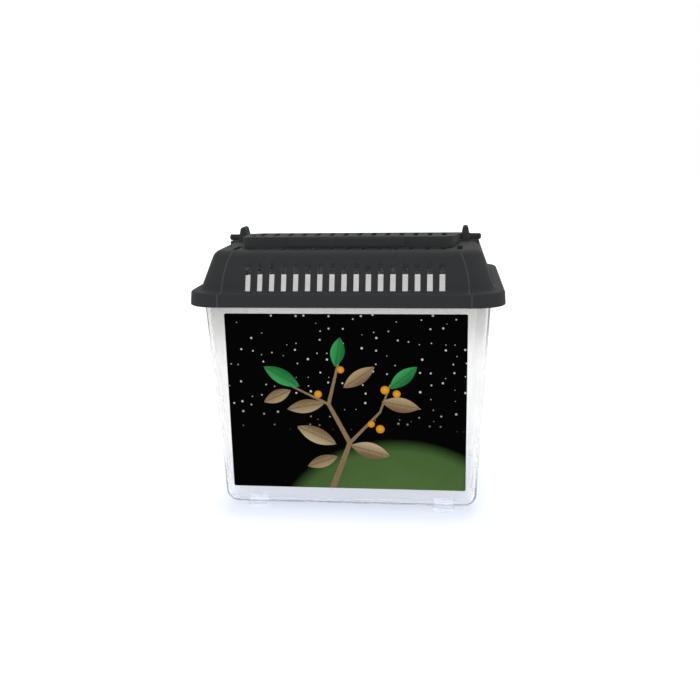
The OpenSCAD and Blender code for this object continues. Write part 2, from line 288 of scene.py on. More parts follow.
def joined(name, things):
    """Make one object of several that don't touch."""
    only(things[0])
    for other in things[1:]:
        other.select_set(True)
    bpy.ops.object.join()
    bpy.context.object.name = name
    return bpy.context.object


def copies(thing, offsets):
    """Copies of one shape, each with its own mesh and moved by its own offset. The first shape goes."""
    made = []
    for offset in offsets:
        twin = thing.copy()
        twin.data = thing.data.copy()
        bpy.context.collection.objects.link(twin)
        twin.data.transform(Matrix.Translation(offset))
        made.append(twin)
    bpy.data.objects.remove(thing)
    return made


def soften(thing, width, segments=2, angle=30):
    """Round the sharp edges that are left, and shade the piece smooth between them."""
    apply_modifier(
        thing, "BEVEL", width=width, segments=segments, limit_method="ANGLE",
        angle_limit=math.radians(angle), use_clamp_overlap=False, miter_outer="MITER_ARC",
    )
    only(thing)
    bpy.ops.object.shade_smooth_by_angle(angle=math.radians(angle))
    apply_modifier(thing, "WEIGHTED_NORMAL", keep_sharp=True, weight=100)
    return thing


# %% [markdown]
# ## The tub
# A mould gives the tub slanted walls, so that it can be pulled off the core, an even wall all round, a
# flange at the rim and a round floor edge. That is the way it is modelled: a flat sheet as big as the
# flange, with round corners, is inset once, and the inner face is pushed down and narrowed into the
# tub. Solidify then gives all of it the same wall. A solid clear wall matters here, because the light
# bends at both of its faces.

# %% Press the tub out of one sheet
def round_sheet(name, width, depth, z, corner, steps):
    """A flat sheet with four round corners."""
    bpy.ops.object.select_all(action="DESELECT")
    bpy.ops.mesh.primitive_plane_add(size=1, location=(0, 0, z), scale=(1, 1, 1))
    sheet = bpy.context.object
    sheet.name = name
    sheet.scale = (width, depth, 1)
    settle(sheet)
    pick(sheet, "VERT", lambda middle, part: True)
    bpy.ops.mesh.bevel(offset=corner, segments=steps, profile=0.5, affect="VERTICES")
    return sheet


def at_height(z, slack=0.02 * MM):
    """A test for edges that lie level at one height."""
    return lambda middle, part: all(abs(v.co.z - z) < slack for v in part.verts)


mouth = (110 * MM, 78 * MM)
flange_reach, flange_corner, floor_round = 3.2 * MM, 9.2 * MM, 4.75 * MM
flange_low = rim_z - tub_wall
flange_size = (tub_high[0] - tub_low[0], tub_high[1] - tub_low[1])
tub = round_sheet("tub_shell", *flange_size, flange_low, flange_corner, 14)
pick(tub, "FACE", lambda middle, part: True)
bpy.ops.mesh.inset(thickness=flange_reach, use_even_offset=True)
depth = flange_low - foot_height
draw = depth * math.tan(wall_slant)
pick(tub, "FACE", lambda middle, part: middle.xy.length < 1 * MM)
bpy.ops.mesh.extrude_region_move(TRANSFORM_OT_translate={"value": (0, 0, -depth)})
bpy.ops.transform.resize(
    value=((mouth[0] - 2 * draw) / mouth[0], (mouth[1] - 2 * draw) / mouth[1], 1),
    center_override=(0, 0, foot_height),
)
pick(tub, "EDGE", at_height(foot_height))
bpy.ops.mesh.bevel(offset=floor_round, segments=8, profile=0.5, affect="EDGES")
pick(tub, "FACE", lambda middle, part: True)
bpy.ops.mesh.normals_make_consistent(inside=False)
bpy.ops.object.mode_set(mode="OBJECT")
floor_faces = [f for f in tub.data.polygons if f.center.z < foot_height + 0.1 * MM]
if floor_faces[0].normal.z > 0:
    tub.data.flip_normals()
apply_modifier(tub, "SOLIDIFY", thickness=tub_wall, offset=-1, use_even_offset=True, use_rim=True)
print("tub shell:", len(tub.data.polygons), "faces")

# %% [markdown]
# The four feet are small solid blocks under the floor. They are welded to the shell instead of only
# touching it: in a clear material a hidden inner face would shine.

# %% Weld the feet on
half_length, half_depth = 4.25 * MM, 3 * MM
from_side, from_front = 8.5 * MM, 2.5 * MM
foot_root, foot_corner = 1.1 * MM, 1.5 * MM
floor_in = (rim_z - foot_height) * math.tan(wall_slant)
foot_x = mouth[0] / 2 - floor_in - from_side - half_length
foot_y = mouth[1] / 2 - floor_in - from_front - half_depth
foot = block("foot", (-half_length, -half_depth, 0), (half_length, half_depth, foot_height + foot_root))
pick(foot, "EDGE", lambda middle, part: abs(part.verts[0].co.z - part.verts[1].co.z) > MM)
bpy.ops.mesh.bevel(offset=foot_corner, segments=5, profile=0.5, affect="EDGES")
bpy.ops.object.mode_set(mode="OBJECT")
feet = copies(foot, [(x * foot_x, y * foot_y, 0) for x in (-1, 1) for y in (-1, 1)])
weld(tub, joined("feet", feet))
soften(tub, 0.25 * MM, segments=3, angle=35)
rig.ride(tub, "tub_body")
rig.replaces(tub, "tub")
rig.slot(tub, "clear_plastic")
print("tub with feet:", len(tub.data.polygons), "faces")

# %% [markdown]
# ## The lid
# The lid is one moulding as well. It starts as a sheet the size of the ledge. The middle is inset and
# pulled up into the dome, and the sheet's outer edge is pulled down into the skirt. The loops where the
# surfaces meet are bevelled: a round shoulder at the top, a hollow rounding at the dome's foot.

# %% Raise the dome from the ledge
ledge_size, ledge_corner = (119.9 * MM, 87.9 * MM), 11.2 * MM
shoulder_round, dome_foot_round, ledge_round = 2.66 * MM, 1.54 * MM, 1.0 * MM
lid = round_sheet("lid_moulding", *ledge_size, ledge_z, ledge_corner, 14)
pick(lid, "FACE", lambda middle, part: True)
bpy.ops.mesh.inset(thickness=(ledge_size[0] - dome_size[0]) / 2, use_even_offset=True)
pick(lid, "FACE", lambda middle, part: middle.xy.length < 1 * MM)
bpy.ops.mesh.extrude_region_move(TRANSFORM_OT_translate={"value": (0, 0, dome_height)})
bpy.ops.transform.resize(
    value=(1 - 2 * dome_lean / dome_size[0], 1 - 2 * dome_lean / dome_size[1], 1),
    center_override=(0, 0, top_z),
)
pick(lid, "EDGE", at_height(top_z))
bpy.ops.mesh.bevel(offset=shoulder_round, segments=7, profile=0.5, affect="EDGES")
pick(lid, "EDGE", lambda middle, part: at_height(ledge_z)(middle, part) and len(part.link_faces) == 2
     and any(abs(f.normal.z) < 0.9 for f in part.link_faces))
bpy.ops.mesh.bevel(offset=dome_foot_round, segments=5, profile=0.5, affect="EDGES")

# %% Pull the skirt down and give the lid its wall
pick(lid, "EDGE", lambda middle, part: len(part.link_faces) == 1)
bpy.ops.mesh.extrude_region_move(TRANSFORM_OT_translate={"value": (0, 0, skirt_z - ledge_z)})
bpy.ops.transform.resize(
    value=((lid_high[0] - lid_low[0]) / ledge_size[0], (lid_high[1] - lid_low[1]) / ledge_size[1], 1),
    center_override=(0, 0, skirt_z),
)
pick(lid, "FACE", lambda middle, part: True)
bpy.ops.mesh.normals_make_consistent(inside=False)
bpy.ops.object.mode_set(mode="OBJECT")
top_faces = [f for f in lid.data.polygons if f.center.z > top_z - 0.1 * MM]
if top_faces[0].normal.z < 0:
    lid.data.flip_normals()
apply_modifier(lid, "SOLIDIFY", thickness=lid_wall, offset=-1, use_even_offset=True, use_rim=True)
past_dome, past_corner = 3 * MM, 67 * MM
pick(lid, "EDGE", lambda middle, part: at_height(ledge_z)(middle, part)
     and (abs(middle.x) > dome_size[0] / 2 + past_dome or abs(middle.y) > dome_size[1] / 2 + past_dome
          or middle.xy.length > past_corner)
     and any(abs(f.normal.z) < 0.5 for f in part.link_faces))
bpy.ops.mesh.bevel(offset=ledge_round, segments=4, profile=0.5, affect="EDGES")
bpy.ops.object.mode_set(mode="OBJECT")
print("lid shell:", len(lid.data.polygons), "faces")

# %% [markdown]
# ## The air slots
# One cutter of each kind is modelled and copied: a tall block with a round top for the walls, and a
# block with two round ends for the top. They are cut in one go. Seventeen slots stand in the front
# wall, as in the photograph. Those in the back wall start a little higher, out of sight from the front.

# %% Cut the slots
slot_width, slot_pitch, slot_height = 2.1 * MM, 4.58 * MM, 10.4 * MM
slot_low = ledge_z + 0.1 * MM
back_rise, cut_depth = 1.4 * MM, 7 * MM


def wall_cutter(reach, rise=0):
    """A slot standing on its flat end, deep along Y, with a round top."""
    half = slot_width / 2
    cutter = block("cutter", (-half, -reach, slot_low + rise), (half, reach, slot_low + slot_height))
    pick(cutter, "EDGE", lambda middle, part: middle.z > slot_low + slot_height - 0.1 * MM
         and abs(part.verts[0].co.y - part.verts[1].co.y) > MM)
    bpy.ops.mesh.bevel(offset=half * 0.999, segments=8, profile=0.5, affect="EDGES")
    bpy.ops.object.mode_set(mode="OBJECT")
    return cutter


def row(count, pitch):
    return [(i - (count - 1) / 2) * pitch for i in range(count)]


cutters = []
for side, rise in ((-1, 0), (1, back_rise)):
    places = [(x, side * (dome_size[1] / 2 - 1 * MM), 0) for x in row(17, slot_pitch)]
    cutters += copies(wall_cutter(cut_depth, rise), places)
for side in (-1, 1):
    turned = wall_cutter(cut_depth)
    turned.data.transform(Matrix.Rotation(math.pi / 2, 4, "Z"))
    cutters += copies(turned, [(side * (dome_size[0] / 2 - 1 * MM), y, 0) for y in row(10, slot_pitch)])


def top_cutter(y_from, y_to):
    """A slot in the top that runs along Y, with two round ends."""
    half = slot_width / 2
    cutter = block("cutter", (-half, y_from, top_z - 3 * MM), (half, y_to, top_z + 2 * MM))
    pick(cutter, "EDGE", lambda middle, part: abs(part.verts[0].co.z - part.verts[1].co.z) > MM)
    bpy.ops.mesh.bevel(offset=half * 0.999, segments=8, profile=0.5, affect="EDGES")
    bpy.ops.object.mode_set(mode="OBJECT")
    return cutter


top_pitch, row_start, middle_reach = 6.15 * MM, 19.4 * MM, 11 * MM
top_reach = dome_size[1] / 2 - dome_lean - 2.8 * MM
for low, high in ((row_start, top_reach), (-top_reach, -row_start)):
    cutters += copies(top_cutter(low, high), [(x, 0, 0) for x in row(15, top_pitch)])
cutters += copies(top_cutter(-middle_reach, middle_reach), [(k * top_pitch, 0, 0) for k in (-6, -5, 5, 6)])
opening_low, opening_high = (-23.4 * MM, -12.8 * MM), (23.4 * MM, 13.5 * MM)
cutters.append(block("cutter", (*opening_low, top_z - 3 * MM), (*opening_high, top_z + 2 * MM)))
print("slots and openings:", len(cutters))
cut(lid, joined("all_cutters", cutters))
print("lid with slots:", len(lid.data.polygons), "faces")

# %% [markdown]
# ## Ears and bearings
# Two upright ears carry the handle's pins. An ear is a block that narrows upwards on all sides but the
# one beside the handle, with a hole through it. Under the top, two small blocks hold the flap's
# trunnions.

# %% Model one ear and weld its mirror twin too
pin_radius, trunnion_radius, pin_play = 1.2 * MM, 1.0 * MM, 0.08 * MM
hinge_y, hinge_z = 11 * MM, top_z - 2 * MM


def mirrored(thing, side):
    """The piece itself for side 1, its mirror twin for side -1."""
    if side < 0:
        thing.data.transform(Matrix.Scale(-1, 4, (1, 0, 0)))
        thing.data.flip_normals()
    return thing


def ear(side):
    """One ear, narrowed in two steps, with its pin hole and the pad beside its foot."""
    inner, foot_out, tip_in, half = 44.2 * MM, 47.6 * MM, 44.7 * MM, 4.7 * MM
    waist, tip = 3.05 * MM, 6 * MM
    lug = block("ear", (inner, -half, top_z - 0.8 * MM), (foot_out, half, top_z))
    pick(lug, "FACE", lambda middle, part: middle.z > top_z - 0.1 * MM)
    bpy.ops.mesh.extrude_region_move(TRANSFORM_OT_translate={"value": (0, 0, waist)})
    bpy.ops.transform.resize(value=(0.86, 0.83, 1), center_override=(inner, 0, 0))
    bpy.ops.mesh.extrude_region_move(TRANSFORM_OT_translate={"value": (0, 0, tip - waist)})
    bpy.ops.transform.resize(value=(0.65, 0.88, 1), center_override=(inner, 0, 0))
    bpy.ops.transform.translate(value=(tip_in - inner, 0, 0))
    pick(lug, "EDGE", at_height(top_z + tip))
    bpy.ops.mesh.bevel(offset=0.9 * MM, segments=5, profile=0.5, affect="EDGES")
    pick(lug, "EDGE", lambda middle, part: abs(part.verts[0].co.z - part.verts[1].co.z) > 0.6 * MM)
    bpy.ops.mesh.bevel(offset=0.35 * MM, segments=3, profile=0.5, affect="EDGES")
    bpy.ops.object.mode_set(mode="OBJECT")
    cut(lug, rod("pin_hole", (inner - MM, 0, pivot_z), 6 * MM, pin_radius + pin_play))
    pad_top, pad_half = pivot_z - pin_radius - 0.13 * MM, 3.5 * MM
    pad_low = (foot_out - 0.4 * MM, -pad_half, pad_top - 1.8 * MM)
    weld(lug, block("pad", pad_low, (foot_out + 3.5 * MM, pad_half, pad_top)))
    return mirrored(lug, side)


def bearing(side):
    """A block under the top with the hole for one trunnion."""
    inner, half = 23.4 * MM, 2.5 * MM
    lug_low = (inner, hinge_y - half, hinge_z - half)
    lug = block("bearing", lug_low, (inner + 3.6 * MM, hinge_y + half, top_z - 0.8 * MM))
    hole_radius = trunnion_radius + pin_play
    cut(lug, rod("trunnion_hole", (inner - MM, hinge_y, hinge_z), 3.4 * MM, hole_radius))
    return mirrored(lug, side)


for side in (-1, 1):
    weld(lid, ear(side))
    weld(lid, bearing(side))
soften(lid, 0.18 * MM, segments=2, angle=35)
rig.ride(lid, "lid_body")
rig.replaces(lid, "lid")
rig.slot(lid, "black_plastic")
print("finished lid:", len(lid.data.polygons), "faces")

# %% [markdown]
# ## The handle
# A flat strap in the shape of a U with a thicker middle to hold. The outer block is flared towards the
# pivots and has round front corners. A smaller one is cut out of it, and the strap is then
# made lower towards the pivots. The pins are moulded on, each with a small lip that snaps past its ear.

# %% Cut the U and taper it
def u_block(name, inset, corner):
    """The handle's outline as a solid block, inset from its outer edge, open towards the back."""
    front, back, hub_y = -28.8 * MM + inset, 8 * MM, -1.4 * MM
    corner_x, hub_x = 40.2 * MM - inset, 43.9 * MM - inset
    spare = MM if inset else 0
    outline = block(name, (-corner_x, front, top_z - spare), (corner_x, hub_y, top_z + 6 * MM + spare))
    pick(outline, "VERT", lambda middle, part: middle.y > -2 * MM)
    bpy.ops.transform.resize(value=(hub_x / corner_x, 1, 1), center_override=(0, 0, 0))
    pick(outline, "FACE", lambda middle, part: middle.y > -2 * MM)
    bpy.ops.mesh.extrude_region_move(TRANSFORM_OT_translate={"value": (0, back - hub_y, 0)})
    pick(outline, "EDGE", lambda middle, part: middle.y < front + 0.1 * MM
         and abs(part.verts[0].co.z - part.verts[1].co.z) > MM)
    bpy.ops.mesh.bevel(offset=corner, segments=8, profile=0.5, affect="EDGES")
    bpy.ops.object.mode_set(mode="OBJECT")
    return outline


strap_width, outer_corner, inner_corner = 2.6 * MM, 4.5 * MM, 1.9 * MM
handle = u_block("handle_strap", 0, outer_corner)
cut(handle, u_block("inside", strap_width, inner_corner))
strap_low, hub_high, grip_high = 0.25 * MM, 3.05 * MM, 4.75 * MM
side_x, reach = 46 * MM, 31.7 * MM
side_view = block("side_view", (-side_x, -reach, top_z + strap_low), (side_x, 0, top_z + hub_high))
pick(side_view, "EDGE", lambda middle, part: middle.y < -reach + 0.1 * MM and middle.z > top_z + 2 * MM
     and abs(part.verts[0].co.x - part.verts[1].co.x) > MM)
bpy.ops.transform.translate(value=(0, 0, grip_high - hub_high))
bpy.ops.object.mode_set(mode="OBJECT")
weld(side_view, rod("hub", (-side_x, 0, pivot_z), 2 * side_x, 1.4 * MM))
apply_modifier(handle, "BOOLEAN", operation="INTERSECT", object=side_view, solver="EXACT")
bpy.data.objects.remove(side_view)
print("handle strap:", len(handle.data.polygons), "faces")

# %% Add the grip and the pins
grip_x, grip_half, grip_round = 22.5 * MM, 2.25 * MM, 1.2 * MM
grip_z = top_z + strap_low + grip_half
grip = block("grip", (-grip_x, -29.6 * MM, grip_z - grip_half), (grip_x, -25.4 * MM, grip_z + grip_half))
pick(grip, "EDGE", lambda middle, part: abs(part.verts[0].co.x - part.verts[1].co.x) > MM)
bpy.ops.mesh.bevel(offset=grip_round, segments=6, profile=0.5, affect="EDGES")
bpy.ops.object.mode_set(mode="OBJECT")
soften(grip, 0.3 * MM, segments=2, angle=35)
soften(handle, 0.35 * MM, segments=3, angle=35)
parts = [handle, grip]
pin_start, pin_end, pin_tip = 42.6 * MM, 51.9 * MM, 0.5 * MM
lip_start, lip_length, lip_shift = 50.6 * MM, 0.8 * MM, 0.25 * MM
for side in (-1, 1):
    straight = pin_end - pin_tip
    pin = rod("pin", (pin_start, 0, pivot_z), straight - pin_start, pin_radius)
    pick(pin, "FACE", lambda middle, part: middle.x > straight - 0.1 * MM)
    bpy.ops.mesh.extrude_region_move(TRANSFORM_OT_translate={"value": (pin_tip, 0, 0)})
    bpy.ops.transform.resize(value=(1, 0.65, 0.65), center_override=(pin_end, 0, pivot_z))
    bpy.ops.object.mode_set(mode="OBJECT")
    weld(pin, rod("lip", (lip_start, -lip_shift, pivot_z), lip_length, pin_radius))
    parts.append(soften(mirrored(pin, side), 0.12 * MM, segments=2, angle=35))
handle = joined("carry_handle", parts)
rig.ride(handle, "handle_body")
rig.replaces(handle, "handle")
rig.slot(handle, "black_plastic")
print("handle:", len(handle.data.polygons), "faces")

# %% [markdown]
# ## The feeding flap
# A flat plate in its opening, hinged at the back on a moulded barrel with two short trunnions, and
# lifted at a tab in front that lies on the lid.

# %% Model the flap
flap_x, flap_front, flap_thick = 23 * MM, -12.4 * MM, 1.8 * MM
trunnion_x, tab_x, tab_front = 25.4 * MM, 7 * MM, -15.0 * MM
flap = block("feeding_flap", (-flap_x, flap_front, top_z - flap_thick), (flap_x, hinge_y, top_z))
weld(flap, rod("barrel", (-flap_x, hinge_y, hinge_z), 2 * flap_x, 1.9 * MM))
weld(flap, rod("trunnions", (-trunnion_x, hinge_y, hinge_z), 2 * trunnion_x, trunnion_radius))
riser_high = (tab_x, flap_front + 2 * MM, top_z + 0.6 * MM)
weld(flap, block("riser", (-tab_x, flap_front, top_z - 0.9 * MM), riser_high))
tab_high = (tab_x, flap_front + 2 * MM, top_z + 1.05 * MM)
tab = block("tab", (-tab_x, tab_front, top_z + 0.15 * MM), tab_high)
pick(tab, "EDGE", lambda middle, part: middle.y < tab_front + 0.1 * MM
     and abs(part.verts[0].co.z - part.verts[1].co.z) > 0.5 * MM)
bpy.ops.mesh.bevel(offset=1.2 * MM, segments=6, profile=0.5, affect="EDGES")
bpy.ops.object.mode_set(mode="OBJECT")
weld(flap, tab)
soften(flap, 0.2 * MM, segments=2, angle=35)
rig.ride(flap, "hatch_body")
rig.replaces(flap, "feeding_hatch")
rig.slot(flap, "black_plastic")
print("flap:", len(flap.data.polygons), "faces")

# %% [markdown]
# ## The label
# A printed film as wide as the flat part of the front wall, lying on the slant of that wall. It is a
# thin block leaned back by the wall's slant, so that it has a real edge.

# %% Lay the label on the wall
label_low, label_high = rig.box("label")
label_size = (92.5 * MM, 0.25 * MM, 71.4 * MM)
label_middle = Vector((0, (label_low[1] + label_high[1]) / 2, (label_low[2] + label_high[2]) / 2))
film = block("front_label", [-s / 2 for s in label_size], [s / 2 for s in label_size])
film.data.transform(Matrix.Translation(label_middle) @ Matrix.Rotation(wall_slant, 4, "X"))
pick(film, "EDGE", lambda middle, part: abs(part.verts[0].co.y - part.verts[1].co.y) > 0.1 * MM)
bpy.ops.mesh.bevel(offset=0.5 * MM, segments=3, profile=0.5, affect="EDGES")
bpy.ops.object.mode_set(mode="OBJECT")
soften(film, 0.04 * MM, segments=1, angle=35)
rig.ride(film, "tub_body")
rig.replaces(film, "label")
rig.slot(film, "label_print")

# %% [markdown]
# ## Finishes
# A material is a small circuit. One class wraps an output so that plain arithmetic adds the Math nodes,
# and one method makes every other node from its type, its settings and its sockets.

# %% The material bench
class Wire:
    """An output of a node. Adding, subtracting, multiplying and dividing add Math nodes."""

    def __init__(self, bench, socket):
        self.bench, self.socket = bench, socket

    def also(self, name):
        """Another output of the same node."""
        return Wire(self.bench, self.socket.node.outputs[name])

    def math(self, operation, *others, clamp=False):
        values = {i: v for i, v in enumerate((self,) + others)}
        return self.bench.node("ShaderNodeMath", {"operation": operation, "use_clamp": clamp}, values)

    def __add__(self, other):
        return self.math("ADD", other)

    def __radd__(self, other):
        return self.math("ADD", other)

    def __sub__(self, other):
        return self.math("SUBTRACT", other)

    def __rsub__(self, other):
        return self.bench.node("ShaderNodeMath", {"operation": "SUBTRACT"}, {0: other, 1: self})

    def __mul__(self, other):
        return self.math("MULTIPLY", other)

    def __rmul__(self, other):
        return self.math("MULTIPLY", other)

    def __truediv__(self, other):
        return self.math("DIVIDE", other)


class Finish:
    """The nodes of one material, or of the world, and the way they are made."""

    def __init__(self, owner):
        self.owner = owner
        owner.use_nodes = True
        self.tree = owner.node_tree
        self.tree.nodes.clear()

    def node(self, kind, settings=None, sockets=None, output=0):
        """A new node with its settings; each socket takes a wire or a plain value."""
        made = self.tree.nodes.new(kind)
        for key, value in (settings or {}).items():
            if key == "stops":
                ramp = made.color_ramp
                while len(ramp.elements) < len(value):
                    ramp.elements.new(0.5)
                for element, (place, colour) in zip(ramp.elements, value):
                    element.position, element.color = place, (*colour, 1)
            else:
                setattr(made, key, value)
        for key, value in (sockets or {}).items():
            if isinstance(value, Wire):
                self.tree.links.new(value.socket, made.inputs[key])
            else:
                made.inputs[key].default_value = value
        return Wire(self, made.outputs[output])

    def place(self):
        """The point on the object, in millimetres, as a vector wire and its three parts."""
        point = self.node("ShaderNodeTexCoord", output="Object")
        scaled = self.node("ShaderNodeVectorMath", {"operation": "SCALE"}, {0: point, "Scale": 1000.0})
        return (scaled, *self.parts(scaled))

    def parts(self, vector):
        """The X, Y and Z of a vector wire."""
        x = self.node("ShaderNodeSeparateXYZ", None, {0: vector})
        return x, x.also("Y"), x.also("Z")

    def noise(self, where, scale, detail=2.0, roughness=0.5):
        sockets = {"Vector": where, "Scale": scale, "Detail": detail, "Roughness": roughness}
        return self.node("ShaderNodeTexNoise", None, sockets)

    def mix(self, factor, first, second):
        """A colour between two colours."""
        return self.node("ShaderNodeMix", {"data_type": "RGBA"}, {0: factor, 6: first, 7: second}, output=2)

    def finish(self, shader, kind="ShaderNodeOutputMaterial"):
        """Wire the shader to the output node and give back what owns the nodes."""
        self.tree.links.new(shader.socket, self.tree.nodes.new(kind).inputs["Surface"])
        return self.owner


def dress(thing, material):
    """Give a piece its one material."""
    thing.data.materials.clear()
    thing.data.materials.append(material)


# %% [markdown]
# ## Clear moulded plastic
# The tub is thin clear polystyrene. It lets the light through with a slight cool grey, bends it at each
# face, and its walls are never quite flat: a long soft wave in the surface makes the reflections swim.
#
# A black lid darkens the clear wall under it by many inner bounces, which a renderer cuts short. So that
# shade is painted: a colour ramp on the height deepens the grey towards the rim, darkest from just under
# the lid's skirt upwards. The painted shade reaches lower on the back wall, which is what the front slots
# look at. Alpha below 1 lets part of the view pass unbent, as through a wall this thin, and it is higher at
# the rim and at the floor, where the plastic is seen edge on.

# %% Make the clear plastic
def clear_plastic():
    f = Finish(bpy.data.materials.new("clear_moulded_plastic"))
    where, x, y, z = f.place()
    waves = f.noise(where, 0.035, 1.5)
    haze = f.noise(where, 0.22, 3.0)
    scuffs = f.noise(where, 2.6, 4.0, 0.65)
    surface = f.node("ShaderNodeBump", None, {"Strength": 0.07, "Distance": 0.35 * MM, "Height": waves})
    # 0 at the table and 1 at 100 mm, with the back wall counted as if it were higher, so that the painted shade of the
    # lid reaches lower there
    height = z / 100.0 + (y * 0.0026).math("MAXIMUM", 0.0)
    # Painted shade: the ramp greys the clear wall towards the rim, darkest in a band just under the lid's skirt
    grey_and_painted_shade = f.node("ShaderNodeValToRGB", {"stops": (
        (0.02, (0.985, 0.99, 0.995)), (0.11, (0.975, 0.98, 0.985)), (0.2, (0.87, 0.88, 0.885)),
        (0.3, (0.82, 0.825, 0.83)), (0.4, (0.835, 0.84, 0.84)), (0.6, (0.835, 0.837, 0.837)),
        (0.68, (0.8, 0.8, 0.8)), (0.72, (0.755, 0.753, 0.75)), (0.82, (0.65, 0.645, 0.635)),
        (0.838, (0.59, 0.585, 0.575)), (0.848, (0.42, 0.415, 0.41)), (0.95, (0.42, 0.415, 0.41)),
        (0.972, (0.8, 0.8, 0.8)),
    )}, {0: height})
    tint = f.mix(haze * 0.2, grey_and_painted_shade, (0.99, 0.99, 0.99, 1))
    rim_end = ((height - 0.6) * 7.0).math("ADD", 0.0, clamp=True)
    floor_end = ((0.2 - height) * 9.0).math("ADD", 0.0, clamp=True)
    solid = 0.6 + 0.36 * (rim_end + floor_end)
    rough = 0.035 + 0.05 * (haze * haze) + 0.03 * scuffs.math("SUBTRACT", 0.55, clamp=True)
    shader = f.node("ShaderNodeBsdfPrincipled", None, {
        "Base Color": tint, "Roughness": rough, "IOR": 1.36, "Transmission Weight": 0.95,
        "Alpha": solid, "Normal": surface,
    })
    return f.finish(shader)


dress(tub, clear_plastic())

# %% [markdown]
# ## Black moulded plastic
# Lid, handle and flap come out of textured steel moulds, so the black is a satin grey-black with a very
# fine grain. Broad soft clouds of slightly different gloss, and a few lighter rubs, keep it from
# looking like paint. A thin pale line, a painted highlight, runs down the lid where the flat front and
# back meet its round corners.

# %% Make the black plastic
def black_plastic():
    f = Finish(bpy.data.materials.new("black_satin_plastic"))
    where, x, y, z = f.place()
    grain = f.noise(where, 3.6, 3.0, 0.6)
    clouds = f.noise(where, 0.11, 3.0)
    rubs = f.noise(where, 0.55, 5.0, 0.7).math("SUBTRACT", 0.6, clamp=True) * 4.0
    surface = f.node("ShaderNodeBump", None, {"Strength": 0.25, "Distance": 0.06 * MM, "Height": grain})
    tone = f.mix(clouds, (0.019, 0.0194, 0.02, 1), (0.0255, 0.026, 0.027, 1))
    tone = f.mix(rubs.math("MULTIPLY", 0.25, clamp=True), tone, (0.045, 0.046, 0.05, 1))
    # Painted shade: faces that look up are a little darker, which stands in for the photograph's level light
    facing = f.node("ShaderNodeNewGeometry", output="Normal")
    painted_shade_up = ((f.parts(facing)[2] - 0.4) * 1.67).math("ADD", 0.0, clamp=True)
    tone = f.mix(painted_shade_up * 0.45, tone, (0.012, 0.012, 0.0125, 1))
    # A painted highlight: a pale line where the flat front and back meet the lid's round corners
    top_mm, dome_mm, highlight_half = 105.4, 14.9, 0.42
    down = ((top_mm - z) / dome_mm).math("ADD", 0.0, clamp=True)
    corner = 43.0 + 3.55 * (down * (2.0 - down)) + 0.9 * z.math("LESS_THAN", 90.2)
    corner_highlight = 1.0 - (x.math("ABSOLUTE") - corner).math("ABSOLUTE") / highlight_half
    corner_highlight = corner_highlight.math("ADD", 0.0, clamp=True) * (top_mm - 0.5 - z).math("ADD", 0.0, clamp=True)
    # The painted highlight lightens the tone along that line
    tone = f.mix(corner_highlight * (0.3 + clouds * 0.5), tone, (0.085, 0.087, 0.092, 1))
    # Painted light: even the shadows in the photograph aren't quite black, and less so under the lid, where the clear
    # tub scatters light, so the plastic glows faintly all over, and twice as much on faces turned inwards
    outwards = f.node("ShaderNodeCombineXYZ", None, {0: x, 1: y, 2: z - 88.0})
    turned = {"operation": "DOT_PRODUCT"}
    inwards = f.node("ShaderNodeVectorMath", turned, {0: facing, 1: outwards}, output=1)
    inside = inwards.math("LESS_THAN", 0.0) * z.math("LESS_THAN", 103.0)
    glow = f.mix(inside, (0.48, 0.49, 0.5, 1), (0.96, 0.98, 1.0, 1))
    rough = 0.6 + 0.14 * clouds + 0.08 * grain
    shader = f.node("ShaderNodeBsdfPrincipled", None, {
        "Base Color": tone, "Roughness": rough, "Specular IOR Level": 0.06, "Normal": surface,
        "Emission Color": glow, "Emission Strength": 0.022,
    })
    return f.finish(shader)


black = black_plastic()
for piece in (lid, handle, flap):
    dress(piece, black)

# %% [markdown]
# ## The printed label
# The print is our own plain design in colours like the real one's: black ground, a soft green rise low
# on the right, and a tan twig with leaves, amber berries and drifting pale seeds. Each shape is a small
# formula on the place in millimetres: a capsule for a length of twig, a pointed oval for a leaf.

